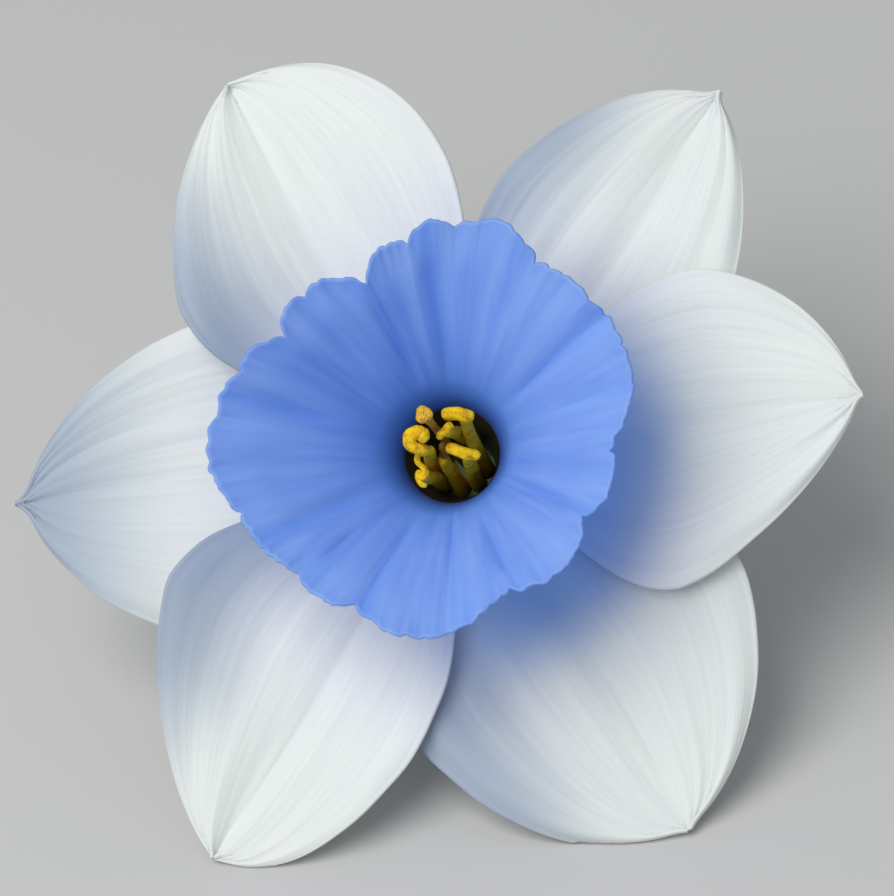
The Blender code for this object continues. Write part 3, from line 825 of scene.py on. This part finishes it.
def hollow_end(piece):
    """Cuts the pith hole into the stem's end, and gives the cut its own finish."""
    end = stem_point(1.0)
    along = (end - stem_point(0.98)).normalized()
    bm = bmesh.new()
    bm.from_mesh(piece.data)

    def middle_faces():
        return list(next(v for v in bm.verts if (v.co / MM - end).length < 0.01).link_faces)

    cut = middle_faces()
    for face in cut:
        face.material_index = 1
    wall = (STEM_RADIUS - STEM_HOLLOW_RADIUS) * MM
    bmesh.ops.inset_region(bm, faces=cut, thickness=wall, use_even_offset=False)
    pith = middle_faces()
    made = bmesh.ops.extrude_face_region(bm, geom=pith)
    moved = [part for part in made["geom"] if isinstance(part, bmesh.types.BMVert)]
    bmesh.ops.translate(bm, verts=moved, vec=-along * STEM_HOLLOW_DEPTH * MM)
    bmesh.ops.delete(bm, geom=[face for face in pith if face.is_valid], context="FACES_ONLY")
    bmesh.ops.recalc_face_normals(bm, faces=bm.faces)
    bm.to_mesh(piece.data)
    bm.free()


def sheath_point(row, column):
    """Row 0 on the stem to 1 at the sheath's tip, column -1 to 1 round it."""
    lap_end = SHEATH_LAP / SHEATH_LENGTH
    slack = smoothstep(lap_end, 1.0, row)
    radius = STEM_RADIUS + 0.45 + 1.7 * slack
    half_turn = math.radians(165.0) * (1.0 - smoothstep(0.5 * lap_end, 0.75, row)) ** 1.1
    half_turn = max(half_turn, math.radians(48.0) * (1.0 - row) ** 0.8 + math.radians(2.5))
    turn = column * half_turn
    run = row * SHEATH_LENGTH
    if run < SHEATH_LAP:
        centre = stem_point((SHEATH_LAP - run) / STEM_LENGTH)
    else:
        top = stem_point(0.0)
        centre = top + (top - stem_point(0.05)).normalized() * (run - SHEATH_LAP)
    free = smoothstep(lap_end, 0.5, row)
    crumple = free * (0.35 * wave(3.0 * column, 9.0 * row, 9.0) + 0.16 * wave(9.0 * column, 5.0 * row, 10.0))
    radius += crumple
    bottom = centre.z - STEM_RADIUS - 0.55 + 3.4 * slack**2 + 0.35 * free
    height = bottom + radius - radius * math.cos(turn) - crumple
    return Vector((centre.x + radius * math.sin(turn), centre.y, height))


def make_sheath(sizes):
    finish = Finish("sheath", 0.7)
    veins = finish.cloud(finish.stretched(finish.grain, (34.0, 1.5, 1.0)), 1.0, 4.0, 0.6)
    blotch = finish.cloud(finish.place, 260.0, 4.0, 0.6)
    paper = finish.ramp(
        veins, (0.32, (0.30, 0.20, 0.10)), (0.50, (0.55, 0.42, 0.25)), (0.70, (0.70, 0.60, 0.42)),
    )
    paper = finish.mix(finish.ramp(blotch, (0.45, 0.0), (0.75, 0.5)), paper, (0.36, 0.25, 0.13))
    paper = finish.mix(finish.ramp(finish.along, (0.0, 0.5), (0.2, 0.0)), paper, (0.42, 0.46, 0.24))
    finish.colour(paper)
    finish.bump(veins, 0.5, 0.0003)
    finish.let_light_through(0.25, paper)
    bm = grid_mesh(90, 60, lambda v, u: sheath_point(v, 2.0 * u - 1.0), SURFACE)
    piece = add_piece("sheath_paper", bm, finish.material, ["sheath"])
    thicken(piece, SHEATH_THICKNESS * MM)


# ---------------------------------------------------------------- stage


def make_floor(sizes):
    bm = bmesh.new()
    bmesh.ops.create_grid(bm, x_segments=1, y_segments=1, size=FLOOR_HALF_WIDTH)
    mesh = bpy.data.meshes.new("floor")
    bm.to_mesh(mesh)
    bm.free()
    floor = bpy.data.objects.new("floor", mesh)
    bpy.context.scene.collection.objects.link(floor)
    material = bpy.data.materials.new("floor")
    material.use_nodes = True
    shader = material.node_tree.nodes["Principled BSDF"]
    shader.inputs["Base Color"].default_value = (*sizes.floor_colour, 1.0)
    shader.inputs["Roughness"].default_value = 0.9
    shader.inputs["Specular IOR Level"].default_value = 0.1
    mesh.materials.append(material)


def add_lamp(lamp, power):
    """Hangs a round soft lamp that faces the throat."""
    light = bpy.data.lights.new(lamp.name, "AREA")
    light.shape = "DISK"
    light.size = lamp.size
    light.energy = power
    light.color = lamp.colour
    holder = bpy.data.objects.new(lamp.name, light)
    bpy.context.scene.collection.objects.link(holder)
    direction = (FLOWER.to_3x3() @ lamp.towards).normalized()
    holder.location = THROAT * MM + direction * lamp.distance
    holder.rotation_euler = direction.to_track_quat("Z", "Y").to_euler()


def make_sky(strength):
    world = bpy.data.worlds.new("studio")
    world.use_nodes = True
    background = world.node_tree.nodes["Background"]
    background.inputs["Color"].default_value = (*SKY_COLOUR, 1.0)
    background.inputs["Strength"].default_value = strength
    bpy.context.scene.world = world


def make_camera():
    turn = FLOWER.to_3x3()
    back = (turn @ VIEW_FROM).normalized()
    right = (turn @ Vector((0.0, 1.0, 0.0))).cross(back).normalized()
    up = back.cross(right)
    lens = bpy.data.cameras.new("camera")
    lens.sensor_fit = "HORIZONTAL"
    lens.sensor_width = SENSOR_WIDTH
    lens.lens = SENSOR_WIDTH * VIEW_DISTANCE / VIEW_SPAN
    lens.shift_x, lens.shift_y = VIEW_SHIFT
    lens.clip_start = 0.01
    camera = bpy.data.objects.new("camera", lens)
    bpy.context.scene.collection.objects.link(camera)
    axes = Matrix((right, up, back)).transposed().to_4x4()
    camera.matrix_world = Matrix.Translation(THROAT * MM + back * VIEW_DISTANCE) @ axes
    bpy.context.scene.camera = camera


def make_stage(sizes):
    make_floor(sizes)
    add_lamp(KEY, sizes.key_power)
    add_lamp(FILL, sizes.fill_power)
    make_sky(sizes.sky_strength)
    make_camera()
    bpy.context.scene.view_settings.view_transform = "Standard"


# ---------------------------------------------------------------- add-on


class NarcissusSizes(bpy.types.PropertyGroup):
    """Sizes and colours of the flower and its stage."""

    petal_thickness: FloatProperty(
        name="Petal thickness", description="Thickness of a petal",
        default=0.00035, min=0.00005, max=0.005, subtype="DISTANCE", unit="LENGTH", precision=5,
    )
    corona_thickness: FloatProperty(
        name="Trumpet thickness", description="Thickness of the trumpet's wall",
        default=0.0003, min=0.00005, max=0.005, subtype="DISTANCE", unit="LENGTH", precision=5,
    )
    petal_rows: IntProperty(
        name="Petal rows", description="Rows of faces along a petal", default=120, min=10, max=200,
    )
    petal_columns: IntProperty(
        name="Petal columns", description="Faces across a petal", default=96, min=10, max=200,
    )
    corona_rows: IntProperty(
        name="Trumpet rows", description="Rows of faces up the trumpet", default=72, min=10, max=100,
    )
    corona_steps: IntProperty(
        name="Trumpet steps", description="Faces round the trumpet", default=600, min=60, max=640,
    )
    petal_colour: FloatVectorProperty(
        name="Petal", description="Colour of a petal's ridges",
        default=(0.88, 0.93, 0.87), size=3, min=0.0, max=1.0, subtype="COLOR",
    )
    petal_groove_colour: FloatVectorProperty(
        name="Petal grooves", description="Colour between a petal's veins",
        default=(0.80, 0.85, 0.83), size=3, min=0.0, max=1.0, subtype="COLOR",
    )
    # Colour of the painted blue shadow of the trumpet on the petals.
    petal_painted_shadow_colour: FloatVectorProperty(
        name="Petal stain", description="Blue tint of a petal near the trumpet",
        default=(0.30, 0.58, 1.0), size=3, min=0.0, max=1.0, subtype="COLOR",
    )
    corona_colour: FloatVectorProperty(
        name="Trumpet", description="Colour of the trumpet's wall",
        default=(0.40, 0.62, 1.0), size=3, min=0.0, max=1.0, subtype="COLOR",
    )
    # Colour of the painted shade low in the trumpet.
    corona_deep_colour: FloatVectorProperty(
        name="Trumpet depth", description="Colour low in the trumpet",
        default=(0.16, 0.45, 1.0), size=3, min=0.0, max=1.0, subtype="COLOR",
    )
    floor_colour: FloatVectorProperty(
        name="Floor", description="Colour of the floor",
        default=(0.56, 0.56, 0.55), size=3, min=0.0, max=1.0, subtype="COLOR",
    )
    key_power: FloatProperty(
        name="Key light", description="Power of the key light", default=6.9, min=0.0, unit="POWER",
    )
    fill_power: FloatProperty(
        name="Fill light", description="Power of the fill light", default=0.8, min=0.0, unit="POWER",
    )
    sky_strength: FloatProperty(
        name="Sky", description="Strength of the light from all round", default=0.40, min=0.0, max=2.0,
    )


class NARCISSUS_OT_petals(bpy.types.Operator):
    """Makes the six petals"""

    bl_idname = "narcissus.petals"
    bl_label = "Petals"
    bl_options = {"REGISTER", "UNDO"}

    def execute(self, context):
        make_petals(context.scene.narcissus)
        return {"FINISHED"}


class NARCISSUS_OT_trumpet(bpy.types.Operator):
    """Makes the frilled trumpet"""

    bl_idname = "narcissus.trumpet"
    bl_label = "Trumpet"
    bl_options = {"REGISTER", "UNDO"}

    def execute(self, context):
        make_corona(context.scene.narcissus)
        return {"FINISHED"}


class NARCISSUS_OT_tube(bpy.types.Operator):
    """Makes the tube behind the petals"""

    bl_idname = "narcissus.tube"
    bl_label = "Floral Tube"
    bl_options = {"REGISTER", "UNDO"}

    def execute(self, context):
        make_tube(context.scene.narcissus)
        return {"FINISHED"}


class NARCISSUS_OT_ovary(bpy.types.Operator):
    """Makes the ovary under the tube"""

    bl_idname = "narcissus.ovary"
    bl_label = "Ovary"
    bl_options = {"REGISTER", "UNDO"}

    def execute(self, context):
        make_ovary(context.scene.narcissus)
        return {"FINISHED"}


class NARCISSUS_OT_stamens(bpy.types.Operator):
    """Makes the six filaments and their anthers"""

    bl_idname = "narcissus.stamens"
    bl_label = "Stamens"
    bl_options = {"REGISTER", "UNDO"}

    def execute(self, context):
        make_stamens(context.scene.narcissus)
        return {"FINISHED"}


class NARCISSUS_OT_pistil(bpy.types.Operator):
    """Makes the style and the stigma"""

    bl_idname = "narcissus.pistil"
    bl_label = "Pistil"
    bl_options = {"REGISTER", "UNDO"}

    def execute(self, context):
        make_pistil(context.scene.narcissus)
        return {"FINISHED"}


class NARCISSUS_OT_stem(bpy.types.Operator):
    """Makes the bent neck and the cut stem"""

    bl_idname = "narcissus.stem"
    bl_label = "Neck and Stem"
    bl_options = {"REGISTER", "UNDO"}

    def execute(self, context):
        make_neck_and_stem(context.scene.narcissus)
        return {"FINISHED"}


class NARCISSUS_OT_sheath(bpy.types.Operator):
    """Makes the papery sheath"""

    bl_idname = "narcissus.sheath"
    bl_label = "Sheath"
    bl_options = {"REGISTER", "UNDO"}

    def execute(self, context):
        make_sheath(context.scene.narcissus)
        return {"FINISHED"}


class NARCISSUS_OT_stage(bpy.types.Operator):
    """Makes the floor, the lights and the camera"""

    bl_idname = "narcissus.stage"
    bl_label = "Stage"
    bl_options = {"REGISTER", "UNDO"}

    def execute(self, context):
        make_stage(context.scene.narcissus)
        return {"FINISHED"}


OPERATORS = (
    NARCISSUS_OT_petals,
    NARCISSUS_OT_trumpet,
    NARCISSUS_OT_tube,
    NARCISSUS_OT_ovary,
    NARCISSUS_OT_stamens,
    NARCISSUS_OT_pistil,
    NARCISSUS_OT_stem,
    NARCISSUS_OT_sheath,
    NARCISSUS_OT_stage,
)


class NARCISSUS_PT_panel(bpy.types.Panel):
    """Lists the steps that make the flower."""

    bl_label = "Narcissus Flower"
    bl_space_type = "VIEW_3D"
    bl_region_type = "UI"
    bl_category = "Narcissus"

    def draw(self, context):
        sizes = context.scene.narcissus
        for name in NarcissusSizes.__annotations__:
            self.layout.prop(sizes, name)
        for operator in OPERATORS:
            self.layout.operator(operator.bl_idname)


CLASSES = (NarcissusSizes, *OPERATORS, NARCISSUS_PT_panel)


def register():
    for cls in CLASSES:
        bpy.utils.register_class(cls)
    bpy.types.Scene.narcissus = PointerProperty(type=NarcissusSizes)


def unregister():
    del bpy.types.Scene.narcissus
    for cls in reversed(CLASSES):
        bpy.utils.unregister_class(cls)


def main():
    register()
    bpy.ops.narcissus.petals()
    bpy.ops.narcissus.trumpet()
    bpy.ops.narcissus.tube()
    bpy.ops.narcissus.ovary()
    bpy.ops.narcissus.stamens()
    bpy.ops.narcissus.pistil()
    bpy.ops.narcissus.stem()
    bpy.ops.narcissus.sheath()
    bpy.ops.narcissus.stage()


if __name__ == "__main__":
    main()
